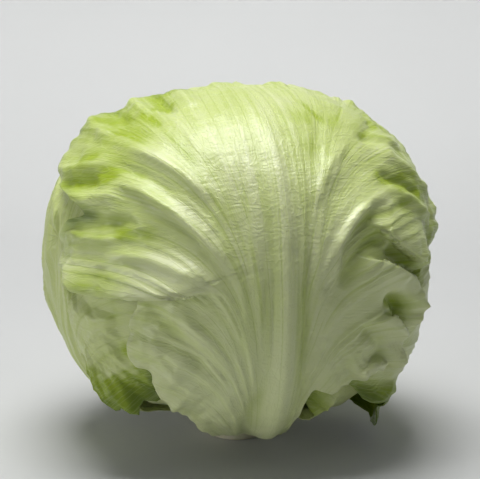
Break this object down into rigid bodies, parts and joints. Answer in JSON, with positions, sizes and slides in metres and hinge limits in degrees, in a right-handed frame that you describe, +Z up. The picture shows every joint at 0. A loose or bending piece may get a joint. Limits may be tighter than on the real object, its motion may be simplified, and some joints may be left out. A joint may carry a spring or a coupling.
{
  "type": "head of lettuce",
  "caption": "Whole crisphead lettuce standing on its cut stem, with loose ruffled outer leaves wrapped over a tight round heart.",
  "frame": {"origin": "centre of the stem's cut face, which the head stands on", "axes": "+Z up through the crown, -Y out of the front, where the outermost leaf lies, +X to the right seen from the front"},
  "size_m": [0.1753, 0.1699, 0.1605],
  "materials": {
    "outer_leaf": "satin, waxy, veined and puckered",
    "inner_leaf": "satin, waxy and smooth",
    "heart_leaf": "satin, pale and tightly creased",
    "stem": "matt, with a browned cut face"
  },
  "bodies": {
    "root": {"stump": "stem", "heart": "heart_leaf", "wrapper_leaf_front": "outer_leaf", "wrapper_leaf_back_right": "outer_leaf", "wrapper_leaf_left": "outer_leaf", "wrapper_leaf_right": "outer_leaf", "wrapper_leaf_back": "outer_leaf", "head_leaf_01": "inner_leaf", "head_leaf_02": "inner_leaf", "head_leaf_03": "inner_leaf", "head_leaf_04": "inner_leaf"}
  },
  "joints": []
}
